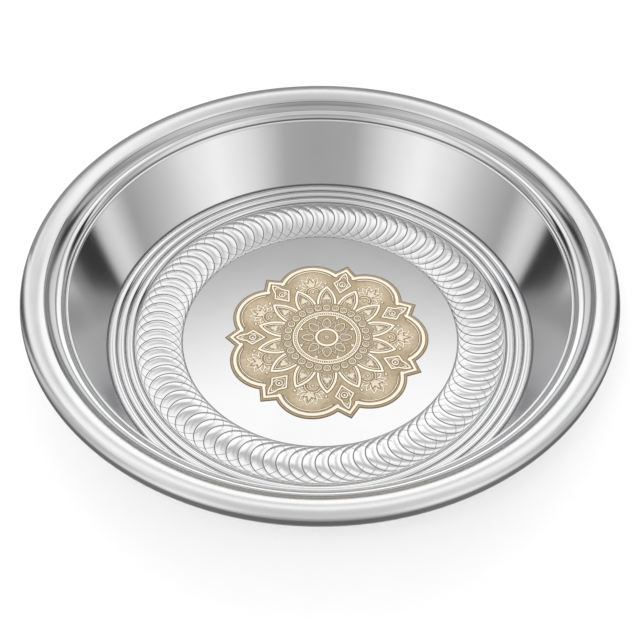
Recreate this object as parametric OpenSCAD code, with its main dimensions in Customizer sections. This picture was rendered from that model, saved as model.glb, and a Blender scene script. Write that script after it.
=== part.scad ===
// Round dough kneading plate of drawn sheet steel, with a two-colour medallion printed on its floor.
// Millimetres. The plate stands on z = 0, its axis is +Z, and its front is -Y.

/* [Sheet] */
// Thickness of the drawn sheet
sheet_t = 0.8; // [0.5:0.1:1.2]
// Inside radius of the creases between the formed bands
crease_r = 0.3; // [0.1:0.1:1]
// Diameter of the flat floor
floor_d = 175.2; // [150:0.2:220]

/* [Coin ring] */
// Radial width of the embossed ring
ring_w = 28.9; // [20:0.1:40]
// Height gained across the ring
ring_rise = 5.2; // [2:0.1:10]
// Crown of the ring above its chord
ring_crown = 1.5; // [0.5:0.1:4]
// Flat hem outside the ring
ring_hem = 0.6; // [0.2:0.1:3]
// Distance from one coin to the next along the middle of the ring
coin_pitch = 7.45; // [5:0.05:15]
// Clear margin between a coin and the edges of the ring
coin_margin = 0.5; // [0.2:0.1:3]
// Width of each coin's raised crescent
crescent_w = 4.2; // [1:0.1:5]
// Height of the crescents above the ring
crescent_h = 0.6; // [0.2:0.1:1.5]
// Turn from the middle of a crescent to its tips, in degrees
crescent_reach = 76; // [45:1:85]

/* [Foot beads] */
// Number of round beads between the ring and the wall
bead_count = 3; // [1:1:6]
// Width of one bead
bead_w = 4.35; // [2:0.05:8]
// Height gained across one bead
bead_rise = 0.9; // [0:0.1:3]
// Crown of one bead
bead_crown = 0.8; // [0.2:0.05:1.5]

/* [Wall] */
// Height of the straight part of the wall
wall_h = 43.6; // [20:0.2:90]
// Lean of the wall from upright, in degrees
wall_lean = 19; // [5:1:45]
// Bend radius at the foot of the wall
foot_r = 1.1; // [0.8:0.1:8]
// Bend radius at the top of the wall
brow_r = 1; // [0.8:0.1:5]
// Flat lip at the top of the wall
lip_w = 0.6; // [0.2:0.1:5]

/* [Ledge and cove] */
// Width of the round ledge
ledge_w = 4.2; // [2:0.1:10]
// Height gained across the ledge
ledge_rise = 3.7; // [1:0.1:8]
// Crown of the ledge
ledge_crown = 0.75; // [0.2:0.05:2]
// Width of the hollow cove under the rim
cove_w = 5; // [2:0.1:12]
// Height gained across the cove
cove_rise = 4.2; // [1:0.1:8]
// Hollow of the cove below its chord
cove_hollow = 0.6; // [0.2:0.05:2]

/* [Rolled rim] */
// Radius of the rim's inner shoulder
shoulder_r = 9.8; // [4:0.1:15]
// Radius of the rim's outer roll
roll_r = 5.2; // [3:0.1:9]
// Radius of the curl under the rim
curl_r = 3.6; // [2:0.1:6]
// Turn of the curl past vertical, in degrees
curl_turn = 125; // [60:1:150]

/* [Print] */
// Thickness of the tan ground
ground_t = 0.3; // [0.1:0.1:1]
// Height of the cream islands above the ground
island_t = 0.35; // [0.1:0.05:1]
// Sideways place of the medallion on the floor
medallion_x = 4.4; // [-8:0.1:8]
// Front to back place of the medallion on the floor
medallion_y = -4.5; // [-8:0.1:8]
// Clear space kept between neighbouring islands
island_gap = 0.4; // [0.2:0.1:1]

/* [Boss and rosette] */
// Outer radius of the boss ring
boss_r = 7.5; // [5:0.1:10]
// Line width of the boss ring
boss_line = 1.5; // [0.5:0.1:3]
// Outer radius of the ring at the very centre
dot_r = 1.2; // [0.8:0.1:2]
// Line width of the ring at the very centre
dot_line = 0.6; // [0.3:0.1:0.7]
// Radial width of the rosette between the boss and the rails
rosette_w = 11.1; // [8:0.1:16]
// Number of rosette leaves
leaf_count = 8; // [5:1:10]
// Clear space between the leaves' points and the inner rail
leaf_clear = 2.2; // [0.4:0.1:4]
// Half width of a leaf
leaf_half_w = 3.1; // [1.5:0.1:3.5]
// Line width of the leaves
leaf_line = 0.8; // [0.3:0.1:1.2]
// Side of the small triangles between the leaf points
triangle_side = 2.4; // [1:0.1:3]

/* [Rails and beads] */
// Line width of the two rails
rail_w = 0.95; // [0.5:0.05:2]
// Diameter of the small beads between the rails
rope_bead_d = 1; // [0.6:0.1:2]
// Distance from one small bead to the next
rope_pitch = 1.4; // [1:0.05:4]

/* [Scallops and petals] */
// Outer diameter of a scallop
scallop_d = 5; // [3:0.1:8]
// Clear space between two scallops
scallop_gap = 0.6; // [0.3:0.1:3]
// Line width of a scallop
scallop_line = 0.8; // [0.3:0.1:1.5]
// Clear ring on each side of the scallops
scallop_clear = 0.9; // [0.4:0.1:2]
// Number of lobes, and of buds between them
lobe_count = 7; // [5:1:9]
// Length of a petal
petal_l = 16.3; // [12:0.1:22]
// Place of a petal's widest part outside its base
petal_belly = 1.5; // [0:0.1:6]
// Line width of a petal's frame
petal_line = 1.5; // [0.6:0.1:2]
// Clear space between a petal's frame and the thin line inside it
petal_inlay_gap = 0.7; // [0.4:0.1:1.2]
// Width of the thin line inside a petal
petal_inlay = 0.5; // [0.3:0.1:1]
// Radius of the three discs of a petal's floret
floret_r = 1.25; // [0.6:0.05:1.4]
// Place of the floret outside the petals' base
floret_place = 5.7; // [3:0.1:8]

/* [Lobes] */
// Radius of a lobe
lobe_r = 24; // [20:0.1:26]
// How far the lobes' centres lie inside the petals' tips
lobe_inset = 4.3; // [3:0.1:7]
// Width of the bare tan margin round the medallion
margin_w = 2; // [1:0.05:3]
// Width of the cream border round a lobe
border_w = 2.1; // [1.5:0.1:3.5]
// How far the borders run inside the corner between a lobe and a bud
border_lap = 2.1; // [1:0.1:3]
// Clear space between the border and the thin lobe line
lobe_line_gap = 1.3; // [0.4:0.1:1.8]
// Width of the thin lobe line
lobe_line = 0.55; // [0.3:0.05:1]
// How far the fan's dot lies inside the petals' tips
fan_place = 5; // [3:0.1:7]
// Outer radius of the fan's wide arc
fan_r = 5.4; // [4:0.1:6]
// Line width of the fan's arcs
fan_line = 0.7; // [0.4:0.1:1]
// Radius of the fan's dot, and of the dots beside the palmette
lobe_dot_r = 0.8; // [0.4:0.1:1.2]
// Angle of the side dots from the middle of the lobe
side_dot_angle = 12; // [10:0.5:14]
// Place of the side dots outside the petals' tips
side_dot_place = 2.1; // [1.5:0.1:5]
// Length of the palmette
palmette_l = 6.4; // [4:0.1:8]
// Half width of the palmette's leaves
palmette_half_w = 1.5; // [0.8:0.1:1.8]
// Spread of the palmette's side leaves, in degrees
palmette_spread = 48; // [40:1:60]

/* [Buds] */
// Place of a bud's middle outside the petals' tips
bud_place = 2.2; // [1:0.1:5]
// Half width of a bud's frame, at its side corners
bud_half_w = 6.3; // [5:0.1:7]
// Length of the bud's inner point, from its middle
bud_inner_l = 8.2; // [6.5:0.1:9]
// Place of the base of the bud's outer point, outside its middle
bud_neck = 3.1; // [2:0.1:4]
// Length of the bud's outer point
bud_outer_l = 8; // [6:0.1:10]
// Half width of the bud's outer point
bud_outer_half_w = 3.2; // [2:0.1:3.5]
// Line width of the bud's frame
bud_line = 1.1; // [0.5:0.1:1.5]
// Clear space between the bud's frame and the border
bud_gap = 1.3; // [0.8:0.1:3]
// Width of the border at a bud's point
bud_border_w = 1.7; // [1:0.1:2.5]
// Half width of the cell that holds a bud
bud_cell_half_w = 8.5; // [7:0.1:10]
// Outer radius of the round heart in a bud
heart_r = 2.4; // [1.5:0.1:2.8]
// Line width of the heart
heart_line = 0.8; // [0.4:0.1:1.2]

/* [Hidden] */
$fn = 128;
steel = [0.78, 0.78, 0.79];
tan_enamel = [0.72, 0.63, 0.48];
cream_enamel = [0.95, 0.89, 0.77];

// Largest turn between two stations along a bend, in degrees
bend_step = 7;
// Turn below which a run counts as straight, in degrees
straight_turn = 0.001;
// Stations along a crescent, from tip to tip
crescent_steps = 8;
// Place of a crescent's ridge, as a share of its width from the coin's edge
ridge_place = 0.3;
// Space left between a crescent and the ring it sits on
crescent_seat = 0.02;

// Bend that spans a width and a rise with a crown: [radius, heading at start, heading at end]
function crown_bend(w, rise, crown) =
    let (chord = norm([w, rise]))
    let (slope = atan2(rise, w))
    let (radius = (chord * chord / 4 + crown * crown) / (2 * abs(crown)))
    let (half_turn = sign(crown) * asin(chord / (2 * radius)))
    [radius, slope + half_turn, slope - half_turn];

crease_mid_r = crease_r + sheet_t / 2;
ring = crown_bend(ring_w, ring_rise, ring_crown);
bead = crown_bend(bead_w, bead_rise, bead_crown);
ledge = crown_bend(ledge_w, ledge_rise, ledge_crown);
cove = crown_bend(cove_w, cove_rise, -cove_hollow);
wall_heading = 90 - wall_lean;

// The sheet's middle line, from the axis outwards: [straight length or bend radius, heading at its end]
floor_run = [[floor_d / 2, 0], [crease_mid_r, ring[1]]];
ring_run = [[ring[0], ring[2]]];
hem_run = [[ring_hem, ring[2]]];
bead_run = [for (i = [1 : bead_count], end = [1, 2]) end == 1 ? [crease_mid_r, bead[1]] : [bead[0], bead[2]]];
wall_run = [[foot_r, wall_heading], [wall_h / cos(wall_lean), wall_heading], [brow_r, 0], [lip_w, 0]];
ledge_run = [[crease_mid_r, ledge[1]], [ledge[0], ledge[2]]];
cove_run = [[crease_mid_r, cove[1]], [cove[0], cove[2]]];
rim_run = [[shoulder_r, 0], [roll_r, -90], [curl_r, -90 - curl_turn]];

// Station [r, z, heading] after following part of a bend or a straight run
function follow(at, size, heading) =
    let (side = sign(heading - at[2]))
    abs(heading - at[2]) < straight_turn
        ? [at[0] + size * cos(heading), at[1] + size * sin(heading), heading]
        : [
            at[0] + side * size * (sin(heading) - sin(at[2])),
            at[1] + side * size * (cos(at[2]) - cos(heading)),
            heading
        ];

// Stations along one run, the start left out
function stations(at, run) =
    let (turn = run[1] - at[2])
    let (steps = max(1, ceil(abs(turn) / bend_step)))
    [for (i = [1 : steps]) follow(at, run[0], at[2] + turn * i / steps)];

// Stations along a list of runs, the start included
function trace(at, runs, i = 0) =
    i == len(runs)
        ? [at]
        : let (part = stations(at, runs[i]))
          concat([at], [for (k = [0 : 1 : len(part) - 2]) part[k]], trace(last(part), runs, i + 1));

// Points at a distance above the middle line
function beside(line, above) = [for (s = line) [s[0] - above * sin(s[2]), s[1] + above * cos(s[2])]];
function reversed(list) = [for (i = [len(list) - 1 : -1 : 0]) list[i]];
function last(list) = list[len(list) - 1];

axis_start = [0, sheet_t / 2, 0];
floor_line = trace(axis_start, floor_run);
ring_line = trace(last(floor_line), ring_run);
outer_line = trace(last(ring_line), concat(hem_run, bead_run, wall_run, ledge_run, cove_run, rim_run));
sheet_line = concat(floor_line, [for (i = [1 : len(ring_line) - 1]) ring_line[i]],
    [for (i = [1 : len(outer_line) - 1]) outer_line[i]]);

coin_r = ring_w / 2 - coin_margin;
coin_place_r = ring_line[0][0] + ring_w / 2;
coin_count = round(2 * PI * coin_place_r / coin_pitch);
crescent_turn = 2 * asin(crescent_w / (2 * coin_place_r));
ring_top = beside(ring_line, sheet_t / 2);

// Point on the ring's upper face, or above it
function on_ring(p, above) = [p[0], p[1], lookup(norm(p), ring_top) + crescent_seat + above];
function turned(p, angle) = [p[0] * cos(angle) - p[1] * sin(angle), p[0] * sin(angle) + p[1] * cos(angle)];

// Edge, ridge and tail of a crescent, at a turn round its coin from the middle of the crescent
function crescent_station(turn) =
    let (edge = [coin_place_r + coin_r * sin(turn), -coin_r * cos(turn)])
    let (taper = cos(90 * turn / crescent_reach))
    [
        on_ring(edge, 0),
        on_ring(turned(edge, crescent_turn * taper * ridge_place), crescent_h * taper),
        on_ring(turned(edge, crescent_turn * taper), 0)
    ];
function crescent_tip(side) =
    on_ring([coin_place_r + side * coin_r * sin(crescent_reach), -coin_r * cos(crescent_reach)], 0);
crescent_points = concat(
    [crescent_tip(-1)],
    [for (i = [1 : crescent_steps - 1]) each crescent_station(crescent_reach * (2 * i / crescent_steps - 1))],
    [crescent_tip(1)]
);

// Triangles of a crescent: edge, ridge and tail of station i are points 3 * i - 2, 3 * i - 1 and 3 * i
function split_quad(a, b, c, d) = [[a, b, c], [a, c, d]];
crescent_end = 3 * crescent_steps - 2;
crescent_faces = concat(
    [[0, 2, 1], [0, 3, 2], [0, 1, 3]],
    [
        for (i = [1 : crescent_steps - 2])
            let (edge = 3 * i - 2)
            each concat(
                split_quad(edge, edge + 1, edge + 4, edge + 3),
                split_quad(edge + 1, edge + 2, edge + 5, edge + 4),
                split_quad(edge, edge + 3, edge + 5, edge + 2)
            )
    ],
    [
        [crescent_end - 3, crescent_end - 2, crescent_end],
        [crescent_end - 2, crescent_end - 1, crescent_end],
        [crescent_end - 3, crescent_end, crescent_end - 1]
    ]
);

// Radii of the medallion's bands, from its centre outwards
rail_inner_r = boss_r + rosette_w;
leaf_place_r = boss_r + island_gap + leaf_half_w;
leaf_l = rail_inner_r - leaf_clear - leaf_place_r;
rope_r = rail_inner_r + rail_w + island_gap / 2 + rope_bead_d / 2;
rope_bead_count = floor(2 * PI * rope_r / max(rope_pitch, rope_bead_d + island_gap));
rail_outer_r = rope_r + rope_bead_d / 2 + island_gap / 2 + rail_w;
scallop_place_r = rail_outer_r + scallop_clear + scallop_d / 2;
scallop_count = floor(2 * PI * scallop_place_r / (scallop_d + scallop_gap));
petal_base_r = scallop_place_r + scallop_d / 2 + scallop_clear;
petal_count = 2 * lobe_count;
petal_half_w = petal_base_r * tan(180 / petal_count) - island_gap / 2;
petal_tip_r = petal_base_r + petal_l;
lobe_place_r = petal_tip_r - lobe_inset;
bud_place_r = petal_tip_r + bud_place;
bud_neck_r = bud_place_r + bud_neck;
bud_end_r = bud_neck_r + bud_outer_l;
corner_beside_lobe = lobe_place_r * sin(180 / lobe_count) - bud_cell_half_w + margin_w;
corner_past_lobe = sqrt(pow(lobe_r - margin_w, 2) - pow(corner_beside_lobe, 2));
border_start_r = lobe_place_r * cos(180 / lobe_count) + corner_past_lobe - border_lap;
bud_side = bud_inner_l * bud_half_w / norm([bud_inner_l, bud_half_w]);
bud_border_r = bud_end_r + bud_gap;
bud_margin_r = bud_border_r + bud_border_w * sqrt(2);
bud_tip_r = bud_margin_r + margin_w * sqrt(2);
field_r = lobe_r - margin_w - border_w;
first_bud_angle = 180;
first_lobe_angle = first_bud_angle + 180 / lobe_count;
first_petal_angle = first_bud_angle + 180 / petal_count;
ground_z = sheet_t + ground_t;

module around(count, first = 0) {
    for (i = [0 : count - 1])
        rotate(first + i * 360 / count)
            children();
}

// Pointed arch with its point on +X, drawn in by an inset: its widest part is at the origin, and its base lies
// a distance behind that
module ogive(l, half_w, inset = 0, back = 0) {
    arc_r = (l * l + half_w * half_w) / (2 * half_w);
    intersection() {
        translate([0, half_w - arc_r]) circle(arc_r - inset);
        translate([0, arc_r - half_w]) circle(arc_r - inset);
        translate([-back, -half_w]) square([back + l, 2 * half_w]);
    }
}

module ring_2d(outer_r, line) {
    difference() {
        circle(outer_r);
        circle(outer_r - line);
    }
}

// Printed layer of the medallion
module printed(level, thickness) {
    translate([medallion_x, medallion_y, level])
        linear_extrude(thickness)
            children();
}

module cream_islands() {
    color(cream_enamel)
        printed(ground_z, island_t)
            children();
}

module lobes_2d(r) {
    around(lobe_count, first_lobe_angle)
        translate([lobe_place_r, 0]) circle(r);
}

// Cells that hold the buds, each with a square corner at its tip
module bud_cells_2d(tip_r, half_w) {
    around(lobe_count, first_bud_angle)
        polygon([
            [0, -half_w], [tip_r - half_w, -half_w], [tip_r, 0],
            [tip_r - half_w, half_w], [0, half_w]
        ]);
}

// Petals, drawn in by an inset, and longer behind their base where they cut another shape
module petals_2d(inset, behind = 0) {
    around(petal_count, first_petal_angle)
        translate([petal_base_r + petal_belly, 0])
            ogive(petal_l - petal_belly, petal_half_w, inset, petal_belly + behind);
}

// Outline of one bud's frame, drawn in by an inset: a diamond with a narrow point outwards
module bud_2d(inset) {
    drawn_in = 1 - inset / bud_side;
    corner_x = bud_inner_l * drawn_in;
    corner_y = bud_half_w * drawn_in;
    translate([bud_place_r, 0]) polygon([[-corner_x, 0], [0, -corner_y], [corner_x, 0], [0, corner_y]]);
    translate([bud_neck_r, 0]) ogive(bud_outer_l, bud_outer_half_w, inset);
}

// Rosette leaf with a round base and a point, drawn in by an inset
module leaf_2d(inset) {
    translate([leaf_place_r, 0]) {
        circle(leaf_half_w - inset);
        ogive(leaf_l, leaf_half_w, inset);
    }
}

module pan() {
    color(steel)
        rotate_extrude()
            polygon(concat(beside(sheet_line, sheet_t / 2), reversed(beside(sheet_line, -sheet_t / 2))));
}

module coin_crescents() {
    color(steel)
        around(coin_count)
            polyhedron(crescent_points, crescent_faces);
}

module medallion_ground() {
    color(tan_enamel)
        printed(sheet_t, ground_t) {
            lobes_2d(lobe_r);
            bud_cells_2d(bud_tip_r, bud_cell_half_w);
            circle(lobe_place_r);
        }
}

module border_band() {
    cream_islands()
        difference() {
            union() {
                lobes_2d(lobe_r - margin_w);
                bud_cells_2d(bud_margin_r, bud_cell_half_w - margin_w);
            }
            lobes_2d(field_r);
            bud_cells_2d(bud_border_r, bud_cell_half_w - margin_w - bud_border_w);
            circle(border_start_r);
        }
}

module lobe_lines() {
    cream_islands()
        difference() {
            lobes_2d(field_r - lobe_line_gap);
            lobes_2d(field_r - lobe_line_gap - lobe_line);
            circle(border_start_r);
        }
}

module lobe_fans() {
    narrow_r = fan_r - 2 * fan_line - island_gap;
    cream_islands()
        difference() {
            around(lobe_count, first_lobe_angle)
                translate([petal_tip_r - fan_place, 0]) {
                    circle(lobe_dot_r);
                    intersection() {
                        union() {
                            ring_2d(fan_r, fan_line);
                            ring_2d(narrow_r, fan_line);
                        }
                        translate([0, -fan_r]) square([fan_r, 2 * fan_r]);
                    }
                }
            petals_2d(-island_gap);
        }
}

module lobe_palmettes() {
    palmette_r = petal_tip_r - fan_place + fan_r + island_gap;
    cream_islands()
        around(lobe_count, first_lobe_angle)
            translate([palmette_r, 0]) {
                ogive(palmette_l, palmette_half_w);
                for (side = [-1, 1])
                    rotate(side * palmette_spread)
                        ogive(palmette_l - palmette_half_w, palmette_half_w);
            }
}

module lobe_dots() {
    cream_islands()
        around(lobe_count, first_lobe_angle)
            for (side = [-1, 1])
                rotate(side * side_dot_angle)
                    translate([petal_tip_r + side_dot_place, 0]) circle(lobe_dot_r);
}

module bud_frames() {
    cream_islands()
        around(lobe_count, first_bud_angle)
            difference() {
                bud_2d(0);
                bud_2d(bud_line);
            }
}

module bud_hearts() {
    cream_islands()
        around(lobe_count, first_bud_angle)
            translate([bud_place_r, 0]) ring_2d(heart_r, heart_line);
}

module petal_frames() {
    cream_islands()
        difference() {
            petals_2d(0);
            petals_2d(petal_line, island_gap);
        }
}

module petal_lines() {
    cream_islands()
        difference() {
            petals_2d(petal_line + petal_inlay_gap);
            petals_2d(petal_line + petal_inlay_gap + petal_inlay, island_gap);
        }
}

module petal_florets() {
    cream_islands()
        around(petal_count, first_petal_angle)
            translate([petal_base_r + floret_place, 0])
                for (turn = [0, 120, 240])
                    rotate(turn) translate([floret_r, 0]) circle(floret_r);
}

module scallop_row() {
    cream_islands()
        around(scallop_count, first_petal_angle)
            translate([scallop_place_r, 0]) ring_2d(scallop_d / 2, scallop_line);
}

module bead_rails() {
    cream_islands() {
        ring_2d(rail_outer_r, rail_w);
        ring_2d(rail_inner_r + rail_w, rail_w);
    }
}

module rope_beads() {
    cream_islands()
        around(rope_bead_count)
            translate([rope_r, 0]) circle(rope_bead_d / 2);
}

module rosette_leaves() {
    cream_islands()
        around(leaf_count)
            difference() {
                leaf_2d(0);
                leaf_2d(leaf_line);
            }
}

module rosette_triangles() {
    corner_r = rail_inner_r - island_gap;
    base_x = sqrt(corner_r * corner_r - triangle_side * triangle_side / 4);
    point_x = base_x - triangle_side * sqrt(3) / 2;
    cream_islands()
        around(leaf_count, 180 / leaf_count)
            polygon([[point_x, 0], [base_x, triangle_side / 2], [base_x, -triangle_side / 2]]);
}

module boss_ring() {
    cream_islands()
        ring_2d(boss_r, boss_line);
}

module boss_dot() {
    cream_islands()
        ring_2d(dot_r, dot_line);
}

pan();
coin_crescents();
medallion_ground();
border_band();
lobe_lines();
lobe_fans();
lobe_palmettes();
lobe_dots();
bud_frames();
bud_hearts();
petal_frames();
petal_lines();
petal_florets();
scallop_row();
bead_rails();
rope_beads();
rosette_leaves();
rosette_triangles();
boss_ring();
boss_dot();
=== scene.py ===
import math

import bmesh
import bpy
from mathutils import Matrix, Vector


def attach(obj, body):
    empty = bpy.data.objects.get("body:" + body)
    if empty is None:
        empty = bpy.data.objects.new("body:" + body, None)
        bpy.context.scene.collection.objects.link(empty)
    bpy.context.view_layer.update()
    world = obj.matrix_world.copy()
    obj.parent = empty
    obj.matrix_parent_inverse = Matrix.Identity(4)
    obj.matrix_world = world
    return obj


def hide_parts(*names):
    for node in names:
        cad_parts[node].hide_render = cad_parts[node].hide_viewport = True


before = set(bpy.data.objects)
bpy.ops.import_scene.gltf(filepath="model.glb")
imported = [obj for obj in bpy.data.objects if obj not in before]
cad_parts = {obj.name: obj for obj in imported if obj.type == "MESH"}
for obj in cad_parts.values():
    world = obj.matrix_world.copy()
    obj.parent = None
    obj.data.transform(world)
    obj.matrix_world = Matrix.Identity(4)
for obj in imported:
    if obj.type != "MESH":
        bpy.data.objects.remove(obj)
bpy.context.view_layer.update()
scene = bpy.context.scene
MM = 0.001

# Sizes of the drawn sheet, in millimetres and degrees
SHEET_T = 0.8
CREASE_R = 0.7
FLOOR_R = 87.6
RING_W, RING_RISE, RING_CROWN, RING_HEM = 28.9, 5.2, 1.5, 0.6
BEAD_COUNT, BEAD_W, BEAD_RISE, BEAD_CROWN = 3, 4.35, 0.9, 0.8
WALL_H, WALL_LEAN, FOOT_R, BROW_R, LIP_W = 43.6, 19.0, 1.1, 1.0, 0.6
LEDGE_W, LEDGE_RISE, LEDGE_CROWN = 4.2, 3.7, 0.75
COVE_W, COVE_RISE, COVE_HOLLOW = 5.0, 4.2, 0.6
SHOULDER_R, ROLL_R, CURL_R, CURL_TURN = 9.8, 5.2, 3.6, 125.0

# Sizes of the embossed ring
COIN_COUNT = 86
COIN_MARGIN = 0.5
COIN_RELIEF = 0.28
COIN_COLUMNS, COIN_ROWS = 20, 40
RING_SUNK = 0.3
# Powers that shape a coin's relief: crowding of its columns, place of its ridge, and how full it is
COIN_CROWD, COIN_RIDGE, COIN_FULL, COIN_ENDS = 1.2, 0.7, 0.9, 0.8
# How far the ring's hem and back lie below the sunk sheet, and the edges across its back
HEM_LAP, BACK_LAP, BACK_CUTS, BACK_EDGE = 0.05, 0.1, 5, 0.02

# Where the steel is rougher and darkened as painted shade: its share in the cove, the bends that are
# hollow, the stations of a tight fold, and the headings of the curl under the rim
COVE_SHADE_AND_DULL = 0.4
HOLLOW_TURN, FOLD_STEP = 2.0, 0.25
CURL_SHADE_AND_DULL_START, CURL_SHADE_AND_DULL_FULL = 50.0, 65.0

# Place of the medallion on the floor
MEDALLION_X, MEDALLION_Y = 4.4, -4.5
LOBE_PLACE_R, LOBE_R, BUD_TIP_R, BUD_CELL_HALF_W = 40.7, 24.0, 64.8, 8.5

# Fineness of the sheet: steps round the axis, degrees between stations, and extra stations near the
# ends of runs
TURNS = 180
BEND_STEP = 5.0
LONG_RUN, RUN_END, BEND_END = 2.0, 0.25, 0.35
# Bends sharper than this show as edges, in degrees
SHARP_BEND = 40.0


def crown_bend(width, rise, crown):
    """Radius, first and last heading of a bend that spans a width and a rise with a crown."""
    chord = math.hypot(width, rise)
    slope = math.degrees(math.atan2(rise, width))
    radius = (chord * chord / 4 + crown * crown) / (2 * abs(crown))
    half_turn = math.copysign(math.degrees(math.asin(chord / (2 * radius))), crown)
    return radius, slope + half_turn, slope - half_turn


RING = crown_bend(RING_W, RING_RISE, RING_CROWN)
BEAD = crown_bend(BEAD_W, BEAD_RISE, BEAD_CROWN)
LEDGE = crown_bend(LEDGE_W, LEDGE_RISE, LEDGE_CROWN)
COVE = crown_bend(COVE_W, COVE_RISE, -COVE_HOLLOW)


def follow_sheet(start, runs):
    """Stations (r, z, heading) along the sheet's middle line.

    A run is a straight length or a bend's radius, with the heading at its end.
    """
    r, z, heading = start
    line = [start]
    for size, end in runs:
        turn = end - heading
        if abs(turn) < 1e-6:
            a = math.radians(heading)
            near = RUN_END / size
            for share in (near, 3 * near, 0.5, 1 - 3 * near, 1 - near, 1.0) if size > LONG_RUN else (1.0,):
                line.append((r + share * size * math.cos(a), z + share * size * math.sin(a), heading))
        else:
            side = math.copysign(1.0, turn)
            steps = max(2, math.ceil(abs(turn) / BEND_STEP))
            shares = [i / steps for i in range(1, steps + 1)]
            near = BEND_END / (size * math.radians(abs(turn)))
            if near < 0.5 / steps:
                shares = [near] + shares[:-1] + [1 - near, 1.0]
            a = math.radians(heading)
            for share in shares:
                b = math.radians(heading + turn * share)
                line.append((
                    r + side * size * (math.sin(b) - math.sin(a)),
                    z + side * size * (math.cos(a) - math.cos(b)),
                    math.degrees(b),
                ))
        r, z, heading = line[-1]
    return line


def beside(line, above):
    """Points at a distance above the sheet's middle line."""
    return [
        (r - above * math.sin(math.radians(a)), z + above * math.cos(math.radians(a)))
        for r, z, a in line
    ]


floor_line = follow_sheet((0.0, SHEET_T / 2, 0.0), [(FLOOR_R, 0.0), (CREASE_R, RING[1])])
ring_line = follow_sheet(floor_line[-1], [(RING[0], RING[2])])
outer_runs = [(RING_HEM, RING[2])]
for bead in range(BEAD_COUNT):
    outer_runs += [(CREASE_R, BEAD[1]), (BEAD[0], BEAD[2])]
wall_heading = 90 - WALL_LEAN
outer_runs += [(FOOT_R, wall_heading), (WALL_H / math.cos(math.radians(WALL_LEAN)), wall_heading)]
outer_runs += [(BROW_R, 0.0), (LIP_W, 0.0), (CREASE_R, LEDGE[1]), (LEDGE[0], LEDGE[2])]
outer_runs += [(CREASE_R, COVE[1]), (COVE[0], COVE[2])]
cove_line = follow_sheet(ring_line[-1], outer_runs)
rim_runs = [(SHOULDER_R, 0.0), (ROLL_R, -90.0), (CURL_R, -90.0 - CURL_TURN)]
rim_line = follow_sheet(cove_line[-1], rim_runs)
outer_line = cove_line + rim_line[1:]

# The embossed ring's upper face is an arc: its centre and radius
ring_tilt = math.radians(RING[1])
RING_START_R = ring_line[0][0]
RING_MID_R = RING_START_R + RING_W / 2
RING_CENTRE = (
    RING_START_R + RING[0] * math.sin(ring_tilt),
    ring_line[0][1] - RING[0] * math.cos(ring_tilt),
)
RING_FACE_R = RING[0] + SHEET_T / 2


def ring_face_z(r):
    """Height of the ring's upper face at a radius."""
    return RING_CENTRE[1] + math.sqrt(RING_FACE_R**2 - (r - RING_CENTRE[0]) ** 2)


def smooth_share(low, high, x):
    """0 below low, 1 above high, eased between them."""
    s = min(max((x - low) / (high - low), 0.0), 1.0)
    return s * s * (3 - 2 * s)


def finish_piece(name, bm, material, nodes):
    """Turns a bmesh into a piece that rides on the plate and stands for CAD nodes."""
    mesh = bpy.data.meshes.new(name)
    bm.to_mesh(mesh)
    bm.free()
    mesh.shade_smooth()
    mesh.set_sharp_from_angle(angle=math.radians(SHARP_BEND))
    mesh.materials.append(material)
    piece = bpy.data.objects.new(name, mesh)
    scene.collection.objects.link(piece)
    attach(piece, "root")
    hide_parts(*nodes)
    return piece


def shade_and_dullness(line):
    """How much painted shade and extra roughness each station gets: tight folds, the hollow cove and under
    the rolled edge.
    """
    marks = [0.0] * len(line)
    for i, (here, ahead) in enumerate(zip(line, line[1:])):
        if ahead[2] - here[2] > HOLLOW_TURN:
            mark = 1.0 if math.dist(here[:2], ahead[:2]) < FOLD_STEP else COVE_SHADE_AND_DULL
            marks[i], marks[i + 1] = max(marks[i], mark), mark
        marks[i + 1] = max(marks[i + 1], smooth_share(CURL_SHADE_AND_DULL_START, CURL_SHADE_AND_DULL_FULL, -ahead[2]))
    return marks


def pan_mesh():
    """The drawn sheet, spun from its section; the ring's upper face is sunk to take the coins."""
    top = beside(floor_line, SHEET_T / 2)
    ring_top = beside(ring_line, SHEET_T / 2)
    top += [(r, z - RING_SUNK) for r, z in ring_top[1:-1]] + [ring_top[-1]]
    top += beside(outer_line, SHEET_T / 2)[1:]
    under = beside(floor_line, -SHEET_T / 2) + beside(ring_line, -SHEET_T / 2)[1:]
    under += beside(outer_line, -SHEET_T / 2)[1:]
    section = top + under[::-1]
    # Marks of painted shade and extra roughness for the tight folds, the hollow cove and under the rolled
    # rim
    shade_and_dull_marks = shade_and_dullness(floor_line + ring_line[1:] + outer_line[1:])
    cove_end = len(floor_line + ring_line + cove_line) - 3
    shade_and_dull_marks[cove_end] = 1.0
    bm = bmesh.new()
    # The layer named dull carries painted shade for the creases, the cove and the rim's underside, and
    # their extra roughness
    dull = bm.verts.layers.float.new("dull")
    verts = [bm.verts.new((r * MM, 0.0, z * MM)) for r, z in section]
    for v, mark in zip(verts, shade_and_dull_marks):
        v[dull] = mark
    edges = [bm.edges.new(pair) for pair in zip(verts, verts[1:])]
    bmesh.ops.spin(
        bm,
        geom=verts + edges,
        axis=(0, 0, 1),
        cent=(0, 0, 0),
        angle=2 * math.pi,
        steps=TURNS,
        use_merge=True,
    )
    bmesh.ops.remove_doubles(bm, verts=bm.verts, dist=1e-6)
    bmesh.ops.recalc_face_normals(bm, faces=bm.faces)
    return bm


def coin_height(across, turn):
    """Relief of a coin: across runs from its own edge to the next coin's, turn goes round the edge."""
    ridge = math.sin(math.pi * across**COIN_RIDGE) ** COIN_FULL
    return COIN_RELIEF * ridge * math.cos(turn) ** COIN_ENDS


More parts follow.
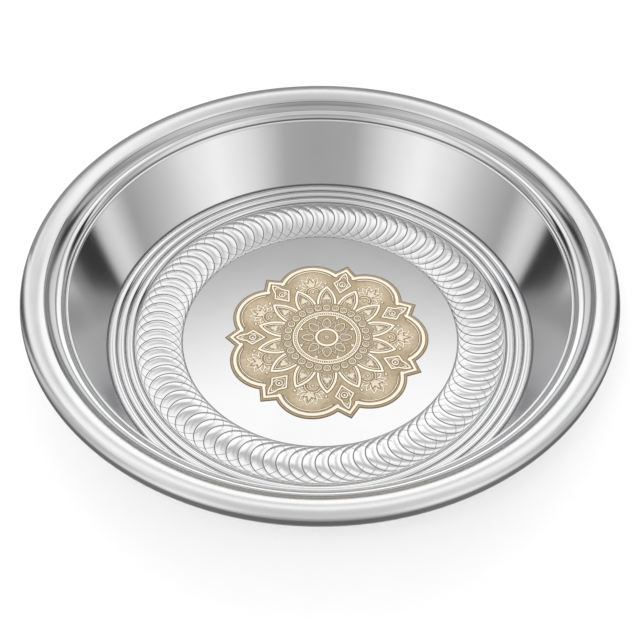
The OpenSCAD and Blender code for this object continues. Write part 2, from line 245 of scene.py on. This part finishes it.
def coin_ring_mesh():
    """The ring of overlapping coins: one crescent is shaped from a grid and repeated round the axis."""
    pitch = 2 * math.pi / COIN_COUNT
    coin_r = RING_W / 2 - COIN_MARGIN
    bm = bmesh.new()
    made = bmesh.ops.create_grid(bm, x_segments=COIN_COLUMNS, y_segments=COIN_ROWS, size=0.5)
    for v in made["verts"]:
        across = (v.co.x + 0.5) ** COIN_CROWD
        row = round((v.co.y + 0.5) * COIN_ROWS)
        turn = math.pi * ((row - 1) / (COIN_ROWS - 2) - 0.5)
        turn = min(max(turn, -math.pi / 2), math.pi / 2)
        edge_x = RING_MID_R + coin_r * math.sin(turn)
        edge_y = -coin_r * math.cos(turn)
        r = math.hypot(edge_x, edge_y)
        angle = math.atan2(edge_y, edge_x) + across * pitch
        z = ring_face_z(r) + coin_height(across, turn)
        if row in (0, COIN_ROWS):
            r += math.copysign(COIN_MARGIN - HEM_LAP, row - 1)
            z = ring_face_z(r) - RING_SUNK - HEM_LAP
        v.co = Vector((r * math.cos(angle), r * math.sin(angle), z)) * MM
    bmesh.ops.spin(
        bm,
        geom=bm.verts[:] + bm.edges[:] + bm.faces[:],
        axis=(0, 0, 1),
        cent=(0, 0, 0),
        angle=pitch * (COIN_COUNT - 1),
        steps=COIN_COUNT - 1,
        use_duplicate=True,
    )
    bmesh.ops.remove_doubles(bm, verts=bm.verts, dist=2e-6)
    rims = [e for e in bm.edges if e.is_boundary]
    bmesh.ops.bridge_loops(bm, edges=rims)
    across_edges = [e for e in bm.edges if e.calc_length() > BACK_EDGE]
    made = bmesh.ops.subdivide_edges(bm, edges=across_edges, cuts=BACK_CUTS)
    for v in made["geom_inner"]:
        if isinstance(v, bmesh.types.BMVert):
            r = v.co.to_2d().length / MM
            v.co.z = (ring_face_z(r) - RING_SUNK - BACK_LAP) * MM
    bmesh.ops.recalc_face_normals(bm, faces=bm.faces)
    return bm


def new_material(name):
    """A new material, its node tree and its shader."""
    material = bpy.data.materials.new(name)
    material.use_nodes = True
    tree = material.node_tree
    return material, tree, tree.nodes["Principled BSDF"]


def add(tree, kind, **settings):
    """A shader node with its settings; a setting named like an input fills that input."""
    node = tree.nodes.new("ShaderNode" + kind)
    for key, value in settings.items():
        if hasattr(node, key):
            setattr(node, key, value)
        else:
            node.inputs[key.replace("_", " ")].default_value = value
    return node


def ramp(tree, stops):
    """A colour ramp with (place, grey or colour) stops."""
    node = tree.nodes.new("ShaderNodeValToRGB")
    band = node.color_ramp
    while len(band.elements) < len(stops):
        band.elements.new(0.5)
    for element, (place, tone) in zip(band.elements, stops):
        element.position = place
    for element, (place, tone) in zip(band.elements, stops):
        element.color = (*tone, 1.0) if isinstance(tone, tuple) else (tone, tone, tone, 1.0)
    return node


def spun_marks_group():
    """Fine marks that run round the axis, as a spinning lathe and polishing wheel leave them."""
    group = bpy.data.node_groups.new("spun_marks", "ShaderNodeTree")
    group.interface.new_socket("Scale", in_out="INPUT", socket_type="NodeSocketFloat")
    group.interface.new_socket("Height", in_out="OUTPUT", socket_type="NodeSocketFloat")
    group.interface.new_socket("Smear", in_out="OUTPUT", socket_type="NodeSocketFloat")
    enter = group.nodes.new("NodeGroupInput")
    leave = group.nodes.new("NodeGroupOutput")
    place = add(group, "TexCoord")
    split = add(group, "SeparateXYZ")
    radius = add(group, "VectorMath", operation="LENGTH")
    flat = add(group, "CombineXYZ")
    angle = add(group, "Math", operation="ARCTAN2")
    join = add(group, "CombineXYZ")
    stretch = add(group, "VectorMath", operation="SCALE")
    marks = add(group, "TexNoise", Scale=1.0, Detail=4.0, Roughness=0.6)
    smear = add(group, "TexNoise", Scale=18.0, Detail=3.0, Roughness=0.55)
    link = group.links.new
    link(place.outputs["Object"], split.inputs[0])
    link(split.outputs["X"], flat.inputs["X"])
    link(split.outputs["Y"], flat.inputs["Y"])
    link(flat.outputs[0], radius.inputs[0])
    link(split.outputs["Y"], angle.inputs[0])
    link(split.outputs["X"], angle.inputs[1])
    link(radius.outputs["Value"], join.inputs["X"])
    link(split.outputs["Z"], join.inputs["Y"])
    shrink = add(group, "Math", operation="MULTIPLY")
    shrink.inputs[1].default_value = 0.004
    link(angle.outputs[0], shrink.inputs[0])
    link(shrink.outputs[0], join.inputs["Z"])
    link(join.outputs[0], stretch.inputs[0])
    link(enter.outputs["Scale"], stretch.inputs["Scale"])
    link(stretch.outputs[0], marks.inputs["Vector"])
    link(place.outputs["Object"], smear.inputs["Vector"])
    link(marks.outputs["Fac"], leave.inputs["Height"])
    link(smear.outputs["Fac"], leave.inputs["Smear"])
    return group


SPUN_MARKS = spun_marks_group()


class Value:
    """A number that a shader's math nodes work out."""

    def __init__(self, tree, socket):
        self.tree, self.socket = tree, socket

    def math(self, operation, *others):
        node = add(self.tree, "Math", operation=operation)
        for socket, other in zip(node.inputs, (self, *others)):
            if isinstance(other, Value):
                self.tree.links.new(other.socket, socket)
            else:
                socket.default_value = other
        return Value(self.tree, node.outputs[0])

    def __add__(self, other):
        return self.math("ADD", other)

    def __sub__(self, other):
        return self.math("SUBTRACT", other)

    def __mul__(self, other):
        return self.math("MULTIPLY", other)

    def __truediv__(self, other):
        return self.math("DIVIDE", other)

    def __abs__(self):
        return self.math("ABSOLUTE")

    def least(self, other):
        return self.math("MINIMUM", other)

    def most(self, other):
        return self.math("MAXIMUM", other)

    def fade(self, start, end):
        """1 below start, 0 above end, eased between them."""
        node = add(self.tree, "MapRange", interpolation_type="SMOOTHSTEP")
        node.inputs["From Min"].default_value = start
        node.inputs["From Max"].default_value = end
        node.inputs["To Min"].default_value = 1.0
        node.inputs["To Max"].default_value = 0.0
        self.tree.links.new(self.socket, node.inputs["Value"])
        return Value(self.tree, node.outputs[0])


def distance(u, v):
    return (u * u + v * v).math("SQRT")


def plan_group(name, outputs):
    """A shader group with named outputs, and the place in plan in millimetres."""
    group = bpy.data.node_groups.new(name, "ShaderNodeTree")
    for output in outputs:
        group.interface.new_socket(output, in_out="OUTPUT", socket_type="NodeSocketFloat")
    leave = group.nodes.new("NodeGroupOutput")
    place = add(group, "TexCoord")
    split = add(group, "SeparateXYZ")
    group.links.new(place.outputs["Object"], split.inputs[0])
    x, y = (Value(group, split.outputs[axis]) / MM for axis in "XY")
    return group, leave, x, y


def coin_lines_group():
    """Painted shade of the lines engraved round the coins: front halves, back halves near the margins, and
    a painted shade streak between.
    """
    group, leave, x, y = plan_group("coin_lines", ["Line"])
    coin_r = RING_W / 2 - COIN_MARGIN
    per_coin = COIN_COUNT / (2 * math.pi)
    radius = distance(x, y)
    cosine = (radius * radius + (RING_MID_R**2 - coin_r**2)) / (radius * (2 * RING_MID_R))
    spread = cosine.least(1.0).math("ARCCOSINE")
    angle = y.math("ARCTAN2", x)

    # Each engraved line is painted as a dark band of shade
    def groove_shade(phase, width):
        return phase.math("FRACT").math("PINGPONG", 0.5).fade(0.3 * width, width)

    front = (angle + spread) * per_coin
    back = (angle - spread) * per_coin
    inside = abs(radius - RING_MID_R).fade(0.25 * coin_r, 0.7 * coin_r)
    lattice = groove_shade(back, 0.06) * (inside * -1.0 + 1.0) * 0.8
    shade_streak = groove_shade(front + 0.4, 0.16) * inside * 0.35
    group.links.new(groove_shade(front, 0.075).most(lattice).most(shade_streak).socket, leave.inputs["Line"])
    return group


COIN_LINES = coin_lines_group()


# The third steel colour is painted shade, laid where a dull mark says so
STEEL_GREY, STEEL_BRIGHT, STEEL_PAINTED_SHADE = (0.78, 0.78, 0.79), (0.82, 0.82, 0.825), (0.2, 0.2, 0.205)
DULL_ROUGHER = 0.25
MARK_DEPTH = 0.0000004


def steel_material(name, rough_low, rough_high, mark_scale, stretch, lean=0.0, groove_shade=False):
    """Polished steel with spun marks, and creases that are rougher and darkened with painted shade.

    Stretch draws reflections out across the marks; lean tips the marks' bright sides upwards.
    """
    material, tree, shader = new_material(name)
    shader.inputs["Metallic"].default_value = 1.0
    shader.inputs["Anisotropic"].default_value = stretch
    shader.inputs["Anisotropic Rotation"].default_value = 0.25
    marks = tree.nodes.new("ShaderNodeGroup")
    marks.node_tree = SPUN_MARKS
    marks.inputs["Scale"].default_value = mark_scale
    # The mask darkens the base colour as painted shade and adds roughness: the coins' groove shade, or the
    # sheet's dull attribute
    if groove_shade:
        dull = tree.nodes.new("ShaderNodeGroup")
        dull.node_tree = COIN_LINES
    else:
        dull = add(tree, "Attribute", attribute_name="dull")
    shade_and_dull_mark = dull.outputs["Line" if groove_shade else "Fac"]
    tone = ramp(tree, [(0.3, STEEL_GREY), (0.7, STEEL_BRIGHT)])
    shade = add(tree, "Mix", data_type="RGBA")
    shade.inputs["B"].default_value = (*STEEL_PAINTED_SHADE, 1)
    rough = add(tree, "MapRange")
    rough.inputs["From Min"].default_value = 0.3
    rough.inputs["From Max"].default_value = 0.7
    rough.inputs["To Min"].default_value = rough_low
    rough.inputs["To Max"].default_value = rough_high
    rougher = add(tree, "Math", operation="MULTIPLY_ADD")
    rougher.inputs[1].default_value = DULL_ROUGHER
    bump = add(tree, "Bump", Strength=1.0, Distance=MARK_DEPTH)
    lift = add(tree, "VectorMath", operation="ADD")
    lift.inputs[1].default_value = (0.0, 0.0, lean)
    facing = add(tree, "VectorMath", operation="NORMALIZE")
    around = add(tree, "Tangent", direction_type="RADIAL", axis="Z")
    link = tree.links.new
    link(marks.outputs["Smear"], tone.inputs[0])
    link(shade_and_dull_mark, shade.inputs["Factor"])
    link(tone.outputs[0], shade.inputs["A"])
    link(shade.outputs["Result"], shader.inputs["Base Color"])
    link(marks.outputs["Smear"], rough.inputs["Value"])
    link(shade_and_dull_mark, rougher.inputs[0])
    link(rough.outputs[0], rougher.inputs[2])
    link(rougher.outputs[0], shader.inputs["Roughness"])
    link(marks.outputs["Height"], bump.inputs["Height"])
    link(bump.outputs[0], lift.inputs[0])
    link(lift.outputs[0], facing.inputs[0])
    link(facing.outputs[0], shader.inputs["Normal"])
    link(around.outputs[0], shader.inputs["Tangent"])
    return material


mirror_steel = steel_material("mirror_steel", 0.06, 0.09, 2500.0, 0.3)
# The coins' steel is darkened with painted shade along its engraved lines and between them
coin_steel = steel_material("coin_steel", 0.12, 0.16, 2500.0, 0.0, groove_shade=True)
wall_steel = steel_material("wall_steel", 0.12, 0.14, 1800.0, 0.7, lean=0.62)
rim_steel = steel_material("rim_steel", 0.2, 0.24, 1800.0, 0.3, lean=0.7)


# Heights in metres at which the print's tones start and end: painted shade at the foot, cream at the top
PRINT_FOOT, PRINT_TOP = 0.0008, 0.0016
MOTTLE = 0.05


def enamel_material(name, tones, rough):
    """Printing enamel: its tone follows its height above the floor, from painted shade at the foot to cream
    at the top, with a faint mottle.
    """
    material, tree, shader = new_material(name)
    place = add(tree, "TexCoord")
    split = add(tree, "SeparateXYZ")
    level = add(tree, "MapRange")
    level.inputs["From Min"].default_value = PRINT_FOOT
    level.inputs["From Max"].default_value = PRINT_TOP
    mottle = add(tree, "TexNoise", Scale=260.0, Detail=5.0, Roughness=0.6)
    shift = add(tree, "MapRange")
    shift.inputs["From Min"].default_value = 0.25
    shift.inputs["From Max"].default_value = 0.75
    shift.inputs["To Min"].default_value = -MOTTLE
    shift.inputs["To Max"].default_value = MOTTLE
    total = add(tree, "Math", operation="ADD")
    tone = ramp(tree, tones)
    bump = add(tree, "Bump", Strength=0.3, Distance=0.00008)
    link = tree.links.new
    link(place.outputs["Object"], split.inputs[0])
    link(split.outputs["Z"], level.inputs["Value"])
    link(place.outputs["Object"], mottle.inputs["Vector"])
    link(mottle.outputs["Fac"], shift.inputs["Value"])
    link(level.outputs[0], total.inputs[0])
    link(shift.outputs[0], total.inputs[1])
    link(total.outputs[0], tone.inputs[0])
    link(tone.outputs[0], shader.inputs["Base Color"])
    link(mottle.outputs["Fac"], bump.inputs["Height"])
    link(bump.outputs[0], shader.inputs["Normal"])
    shader.inputs["Roughness"].default_value = rough
    return material


def lace_group():
    """The medallion's fine lines, from the distance to the nearest curve, painted shade beside them, and
    how light its field is.

    Places, lengths and half widths are in millimetres from the medallion's middle, and tilts in degrees.
    """
    group, leave, x, y = plan_group("lace", ["Cream", "GrooveAndShade", "Field"])
    x, y = x - MEDALLION_X, y - MEDALLION_Y
    reach = distance(x, y)
    angle = y.math("ARCTAN2", x)

    def fold(count, first):
        """Place along and beside the axis of the nearest of a number of sectors."""
        turn = angle * (count / (2 * math.pi)) - first * count / 360
        turn = (turn - turn.math("ROUND")) * (2 * math.pi / count)
        return reach * turn.math("COSINE"), abs(reach * turn.math("SINE"))

    def ring(sector, along, off, r):
        return abs(distance(sector[0] - along, sector[1] - off) - r)

    def dot(sector, along, off, r):
        return distance(sector[0] - along, sector[1] - off) - r

    def leaf(sector, along, off, tilt, length, half_w):
        """Outline of a pointed leaf that starts at a place and tilts away from the axis."""
        c, s = math.cos(math.radians(tilt)), math.sin(math.radians(tilt))
        u, v = sector[0] - along, sector[1] - off
        share = (u * c + v * s) / length
        kept = share.most(0.0).least(1.0)
        swell = (kept.math("POWER", 0.8) * math.pi).math("SINE") * half_w
        return abs(abs(v * c - u * s) - swell) + abs(share - kept) * length

    rosette, between = fold(8, 0), fold(8, 22.5)
    scallop = fold(28, 180 / 14 + 180)
    petal = fold(14, 180 / 14 + 180)
    lobe, bud = fold(7, 180 / 7 + 180), fold(7, 180)
    fine, bold = 0.27, 0.36
    dull_lines = [
        (leaf(rosette, 9.0, 0, 0, 6.6, 1.5), fine),
        (leaf(between, 10.2, 0, 0, 7.6, 2.3), fine),
        (leaf(between, 9.0, 0, 0, 5.2, 1.0), fine),
        (ring(scallop, 25.3, 0, 0.95), fine),
        (dot(scallop, 22.75, 2.55, 0.45), 0.0),
        (dot(scallop, 28.0, 3.1, 0.5), 0.0),
        (leaf(petal, 29.4, 0, 0, 11.2, 2.8), fine),
        (ring(petal, 30.6, 3.0, 0.8), fine),
        (ring(petal, 33.2, 3.0, 0.6), fine),
        (leaf(petal, 36.6, 0, 0, 4.6, 1.0), fine),
        (leaf(petal, 31.0, 0.6, 38, 4.6, 0.8), fine),
    ]
    bright_lines = [
        (leaf(lobe, 45.6, 0, 0, 9.6, 2.7), bold),
        (leaf(lobe, 45.6, 0.6, 34, 8.6, 1.9), bold),
        (leaf(lobe, 45.4, 1.2, 66, 7.4, 1.5), bold),
        (leaf(lobe, 44.2, 2.6, 96, 5.4, 1.2), bold),
        (leaf(bud, 42.4, 0, 0, 12.4, 3.3), bold),
        (dot(bud, 47.2, 0, 0.7), 0.0),
    ]

    def nearest(lines):
        edges = [away - half_line for away, half_line in lines]
        for edge in edges[1:]:
            edges[0] = edges[0].least(edge)
        return edges[0]

    dull, bright = nearest(dull_lines), nearest(bright_lines)
    lobe_edge = distance(lobe[0] - LOBE_PLACE_R, lobe[1]) - LOBE_R
    bud_edge = ((bud[0] + bud[1] - BUD_TIP_R) * math.sqrt(0.5)).most(bud[1] - BUD_CELL_HALF_W)
    outline = abs(lobe_edge.least(bud_edge))
    past_petals = reach.fade(30.0, 42.0).math("MULTIPLY_ADD", -1.0, 1.0)
    in_lobe = distance(lobe[0] - 47.0, lobe[1]).fade(3.0, 17.0) * past_petals
    in_petal = leaf(petal, 24.0, 0, 0, 20.0, 5.5).fade(0.0, 5.0) * 0.3
    cream = (dull.fade(-0.12, 0.16) * 0.6).most(bright.fade(-0.12, 0.16))
    # Painted shade beside every fine line and along the edges of the lobes and buds; the same mask presses
    # a shallow groove
    groove_and_shade = dull.least(bright).fade(0.1, 0.55).most(outline.fade(0.3, 0.8))
    group.links.new(cream.socket, leave.inputs["Cream"])
    group.links.new(groove_and_shade.socket, leave.inputs["GrooveAndShade"])
    group.links.new(in_lobe.most(in_petal).socket, leave.inputs["Field"])
    return group


LACE = lace_group()


def ground_material(name, rough):
    """The medallion's tan ground, with its fine lines printed and pressed in, and painted shade beside them
    and along the lobes' and buds' edges.
    """
    material, tree, shader = new_material(name)
    lace = tree.nodes.new("ShaderNodeGroup")
    lace.node_tree = LACE
    place = add(tree, "TexCoord")
    mottle = add(tree, "TexNoise", Scale=420.0, Detail=5.0, Roughness=0.65)
    field = ramp(tree, [(0.0, DEEP_TAN), (1.0, LIGHT_TAN)])
    patchy = add(tree, "Mix", data_type="RGBA", blend_type="OVERLAY")
    patchy.inputs["Factor"].default_value = 0.5
    # Mixes the painted shade into the ground's colour
    outline = add(tree, "Mix", data_type="RGBA")
    outline.inputs["B"].default_value = (*PAINTED_SHADE_TAN, 1)
    print_line = add(tree, "Mix", data_type="RGBA")
    print_line.inputs["B"].default_value = (*LACE_CREAM, 1)
    height = add(tree, "Math", operation="MULTIPLY_ADD")
    height.inputs[1].default_value = -0.5
    bump = add(tree, "Bump", Strength=0.6, Distance=0.0002)
    link = tree.links.new
    link(place.outputs["Object"], mottle.inputs["Vector"])
    link(lace.outputs["Field"], field.inputs[0])
    link(field.outputs[0], patchy.inputs["A"])
    link(mottle.outputs["Fac"], patchy.inputs["B"])
    link(patchy.outputs["Result"], outline.inputs["A"])
    link(lace.outputs["GrooveAndShade"], outline.inputs["Factor"])
    link(outline.outputs["Result"], print_line.inputs["A"])
    link(lace.outputs["Cream"], print_line.inputs["Factor"])
    link(print_line.outputs["Result"], shader.inputs["Base Color"])
    link(lace.outputs["GrooveAndShade"], height.inputs[0])
    link(lace.outputs["Cream"], height.inputs[2])
    link(height.outputs[0], bump.inputs["Height"])
    link(bump.outputs[0], shader.inputs["Normal"])
    shader.inputs["Roughness"].default_value = rough
    return material


# The first tan is painted shade: at the foot of each raised figure, and beside the ground's fine lines
PAINTED_SHADE_TAN, TAN = (0.17, 0.12, 0.065), (0.47, 0.377, 0.247)
DEEP_TAN, LIGHT_TAN = (0.395, 0.31, 0.196), (0.61, 0.508, 0.355)
CREAM, LACE_CREAM, DULL_CREAM = (0.92, 0.835, 0.685), (0.91, 0.82, 0.66), (0.75, 0.66, 0.505)
STEPS = (0.43, 0.5, 0.64)
enamel = enamel_material("raised_enamel", list(zip(STEPS, (PAINTED_SHADE_TAN, TAN, CREAM))), 0.42)
dull_enamel = enamel_material("dull_enamel", list(zip(STEPS, (PAINTED_SHADE_TAN, TAN, DULL_CREAM))), 0.5)
ground_enamel = ground_material("ground_enamel", 0.5)

# Families of the print with a duller cream, and with figures too small for a full round edge
DULL_PRINT = ("scallop_row", "rosette_leaves", "lobe_palmettes", "lobe_fans", "petal_florets")
FINE_PRINT = (
    "rope_beads", "lobe_dots", "lobe_fans", "lobe_lines", "petal_lines", "scallop_row", "bud_hearts",
)
# Low edge, darkened as painted shade, and raised face of a figure: width and share of the rise of each
# step, in millimetres
FLANGE, FLORET_FLANGE, FLANGE_LIFT, PRINT_RISE, PRINT_BACK = 0.45, 0.1, 0.1, 0.35, 0.04
ROUND_EDGE = [(0.05, 0.55), (0.08, 0.25), (0.1, 0.1)]
FINE_EDGE = [(0.06, 0.9)]
# Bends of a figure's outline that are flattened, in degrees, and edges that are closed up
BEAD_FLAT, RING_FLAT, ARC_FLAT = 25, 14, 4
BEADS, RINGS = ("rope_beads", "lobe_dots"), ("scallop_row", "bud_hearts")
SHORT_EDGE = 0.055


def print_mesh(node, flange):
    """Printed figures: their outlines from the CAD node, with a low edge that the enamel darkens as painted
    shade, and a rounded raised face.
    """
    bm = bmesh.new()
    bm.from_mesh(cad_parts[node].data)
    bmesh.ops.remove_doubles(bm, verts=bm.verts, dist=2e-5)
    top = max(v.co.z for v in bm.verts)
    rest = [f for f in bm.faces if f.normal.z < 0.9 or f.calc_center_median().z < top - 1e-5]
    bmesh.ops.delete(bm, geom=rest, context="FACES")
    bmesh.ops.translate(bm, verts=bm.verts, vec=(0, 0, -PRINT_RISE * MM))
    flat = BEAD_FLAT if node in BEADS else RING_FLAT if node in RINGS else ARC_FLAT
    bmesh.ops.dissolve_limit(bm, angle_limit=math.radians(flat), verts=bm.verts[:], edges=bm.edges[:])
    bmesh.ops.dissolve_degenerate(bm, dist=SHORT_EDGE * MM, edges=bm.edges[:])
    face = bm.faces[:]
    even = {"use_boundary": True, "use_even_offset": True}
    made = bmesh.ops.inset_region(bm, faces=face, thickness=-flange * MM, depth=0, **even)
    bmesh.ops.delete(bm, geom=made["faces"], context="FACES")
    round_edge = FINE_EDGE if node in FINE_PRINT else ROUND_EDGE
    for width, up in [(flange, FLANGE_LIFT), *round_edge]:
        bmesh.ops.inset_region(bm, faces=face, thickness=width * MM, depth=up * PRINT_RISE * MM, **even)
    bmesh.ops.solidify(bm, geom=bm.faces[:], thickness=PRINT_BACK * MM)
    bmesh.ops.recalc_face_normals(bm, faces=bm.faces)
    return bm


# Parts of the sheet with a finish of their own: the wall's inner face, and the upper side of the rim
WALL_LOW_Z, WALL_HIGH_Z, SAME_LEAN = 10.0, 53.5, 0.02
RIM_START_R, RIM_LOW_Z = 161.5, 58.0

pan = finish_piece("drawn_sheet", pan_mesh(), mirror_steel, ["pan"])
pan.data.materials.append(wall_steel)
pan.data.materials.append(rim_steel)
for face in pan.data.polygons:
    r, z = face.center.to_2d().length / MM, face.center.z / MM
    off_lean = abs(face.normal.z - math.sin(math.radians(WALL_LEAN)))
    if WALL_LOW_Z < z < WALL_HIGH_Z and off_lean < SAME_LEAN:
        face.material_index = 1
    elif r > RIM_START_R and z > RIM_LOW_Z and face.normal.z > 0:
        face.material_index = 2
finish_piece("coin_ring", coin_ring_mesh(), coin_steel, ["coin_crescents"])

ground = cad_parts["medallion_ground"]
ground.data.materials.clear()
ground.data.materials.append(ground_enamel)
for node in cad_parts:
    if node not in ("pan", "coin_crescents", "medallion_ground"):
        paint = dull_enamel if node in DULL_PRINT else enamel
        flange = FLORET_FLANGE if node == "petal_florets" else FLANGE
        finish_piece("print_" + node, print_mesh(node, flange), paint, [node])

# The white floor under the plate
FLOOR_HALF, FLOOR_TONE = 6.0, 0.95
floor_mesh = bpy.data.meshes.new("studio_floor")
bm = bmesh.new()
bmesh.ops.create_grid(bm, x_segments=1, y_segments=1, size=FLOOR_HALF)
bm.to_mesh(floor_mesh)
bm.free()
studio_floor = bpy.data.objects.new("studio_floor", floor_mesh)
scene.collection.objects.link(studio_floor)
floor_paint, tree, shader = new_material("studio_floor")
shader.inputs["Base Color"].default_value = (FLOOR_TONE, FLOOR_TONE, FLOOR_TONE, 1)
shader.inputs["Roughness"].default_value = 0.9
shader.inputs["Specular IOR Level"].default_value = 0.0
floor_mesh.materials.append(floor_paint)


def reflected_stage(name, bm):
    """A glowing stage piece that lights the plate and shows in its reflections, but not to the camera."""
    mesh = bpy.data.meshes.new(name)
    bm.to_mesh(mesh)
    bm.free()
    piece = bpy.data.objects.new(name, mesh)
    scene.collection.objects.link(piece)
    material = bpy.data.materials.new(name)
    material.use_nodes = True
    tree = material.node_tree
    tree.nodes.clear()
    glow = add(tree, "Emission", Strength=1.0)
    tree.links.new(glow.outputs[0], add(tree, "OutputMaterial").inputs["Surface"])
    mesh.materials.append(material)
    piece.visible_camera = False
    piece.visible_shadow = False
    return piece, tree, glow.inputs["Color"]


# A low grey screen round the back of the plate
SCREEN_R, SCREEN_H, SCREEN_TURN, SCREEN_TONE = 0.2, 0.105, 160.0, 0.3
bm = bmesh.new()
turned = math.radians((180 - SCREEN_TURN) / 2)
foot = Vector((SCREEN_R * math.cos(turned), SCREEN_R * math.sin(turned), 0.0))
ends = [bm.verts.new(foot), bm.verts.new(foot + Vector((0.0, 0.0, SCREEN_H)))]
edge = bm.edges.new(ends)
bmesh.ops.spin(
    bm,
    geom=[*ends, edge],
    axis=(0, 0, 1),
    cent=(0, 0, 0),
    angle=math.radians(SCREEN_TURN),
    steps=48,
)
studio_screen, tree, glow_colour = reflected_stage("studio_screen", bm)
studio_screen.visible_diffuse = False
glow_colour.default_value = (SCREEN_TONE, SCREEN_TONE, SCREEN_TONE, 1)

# The studio tent: a white top over walls whose tone changes round the plate.
# A band of the walls starts between two elevations and has (angle, tone) stops; angle 0 is at the back.
BANDS = [
    (None, [
        (0, 0.3), (15, 0.3), (22, 0.42), (29, 0.42), (38, 0.32), (47, 0.22), (55, 0.18), (63, 0.18),
        (72, 0.3), (100, 0.3), (130, 0.4), (180, 0.1),
    ]),
    ((9, 15), [
        (0, 1.3), (24, 1.2), (40, 1.0), (45, 0.3), (52, 0.04), (62, 0.02), (65, 0.7), (71, 0.85), (81, 0.4),
        (95, 0.6), (110, 0.85), (130, 1.0), (146, 0.8), (163, 0.6), (180, 0.55),
    ]),
    ((38, 43), [
        (0, 0.5), (12, 0.5), (24, 1.0), (46, 1.0), (56, 0.4), (62, 0.4), (69, 0.8), (81, 0.45), (95, 0.6),
        (109, 0.92), (125, 1.1), (143, 0.85), (161, 0.45), (180, 0.42),
    ]),
]
# Tone of the top at each elevation, and where it starts: lower behind the plate by the tilt
CEILING = [(58, 1.2), (63, 1.05), (70, 0.75), (90, 0.65)]
CEILING_START, CEILING_FULL = math.radians(60), math.radians(72)
CEILING_TILT = math.radians(14)
TENT_R = 10.0
bm = bmesh.new()
bmesh.ops.create_uvsphere(bm, u_segments=48, v_segments=24, radius=TENT_R)
tree, glow_colour = reflected_stage("studio_tent", bm)[1:]
link = tree.links.new
place = add(tree, "TexCoord")
direction = add(tree, "VectorMath", operation="NORMALIZE")
split = add(tree, "SeparateXYZ")
link(place.outputs["Object"], direction.inputs[0])
link(direction.outputs[0], split.inputs[0])
east, north, up = (Value(tree, socket) for socket in split.outputs)
turn = abs(east).math("ARCTAN2", north) / math.pi


def mixed(share, under, over):
    """One tone over another where a share says so."""
    node = add(tree, "Mix", data_type="RGBA")
    link(share.socket, node.inputs["Factor"])
    link(under, node.inputs["A"])
    link(over, node.inputs["B"])
    return node.outputs["Result"]


tones = None
for start, band in BANDS:
    stops = ramp(tree, [(a / 180, tone) for a, tone in band])
    link(turn.socket, stops.inputs[0])
    if start is None:
        tones = stops.outputs[0]
    else:
        low, high = (math.sin(math.radians(elevation)) for elevation in start)
        tones = mixed(up.fade(high, low), tones, stops.outputs[0])
white_top = ramp(tree, [(math.sin(math.radians(elevation)), tone) for elevation, tone in CEILING])
link(up.socket, white_top.inputs[0])
height = north.most(0.0) * math.tan(CEILING_TILT) + up
ceiling = height.fade(math.sin(CEILING_FULL), math.sin(CEILING_START))
link(mixed(ceiling, tones, white_top.outputs[0]), glow_colour)

world = bpy.data.worlds.new("white_studio")
scene.world = world
world.use_nodes = True
world.node_tree.nodes["Background"].inputs["Color"].default_value = (1, 1, 1, 1)

# A broad lamp behind and above the plate, which its steel doesn't mirror
SUN_SPREAD, SUN_POWER, SUN_BACK, SUN_SIDE = 50, 2.1, 45, -8
lamp_data = bpy.data.lights.new("soft_sun", "SUN")
lamp_data.angle = math.radians(SUN_SPREAD)
lamp_data.energy = SUN_POWER
soft_sun = bpy.data.objects.new("soft_sun", lamp_data)
soft_sun.rotation_euler = (math.radians(SUN_BACK), math.radians(SUN_SIDE), 0.0)
soft_sun.visible_glossy = False
scene.collection.objects.link(soft_sun)

CAMERA_LENS, CAMERA_FORWARD, CAMERA_UP, CAMERA_DOWN = 56.25, -0.4178, 0.4861, 48.57
camera_data = bpy.data.cameras.new("camera")
camera_data.sensor_width = 36.0
camera_data.lens = CAMERA_LENS
camera_data.clip_start = 0.01
camera = bpy.data.objects.new("camera", camera_data)
camera.location = (0.0, CAMERA_FORWARD, CAMERA_UP)
camera.rotation_euler = (math.radians(90 - CAMERA_DOWN), 0.0, 0.0)
scene.collection.objects.link(camera)
scene.camera = camera

scene.view_settings.view_transform = "Standard"
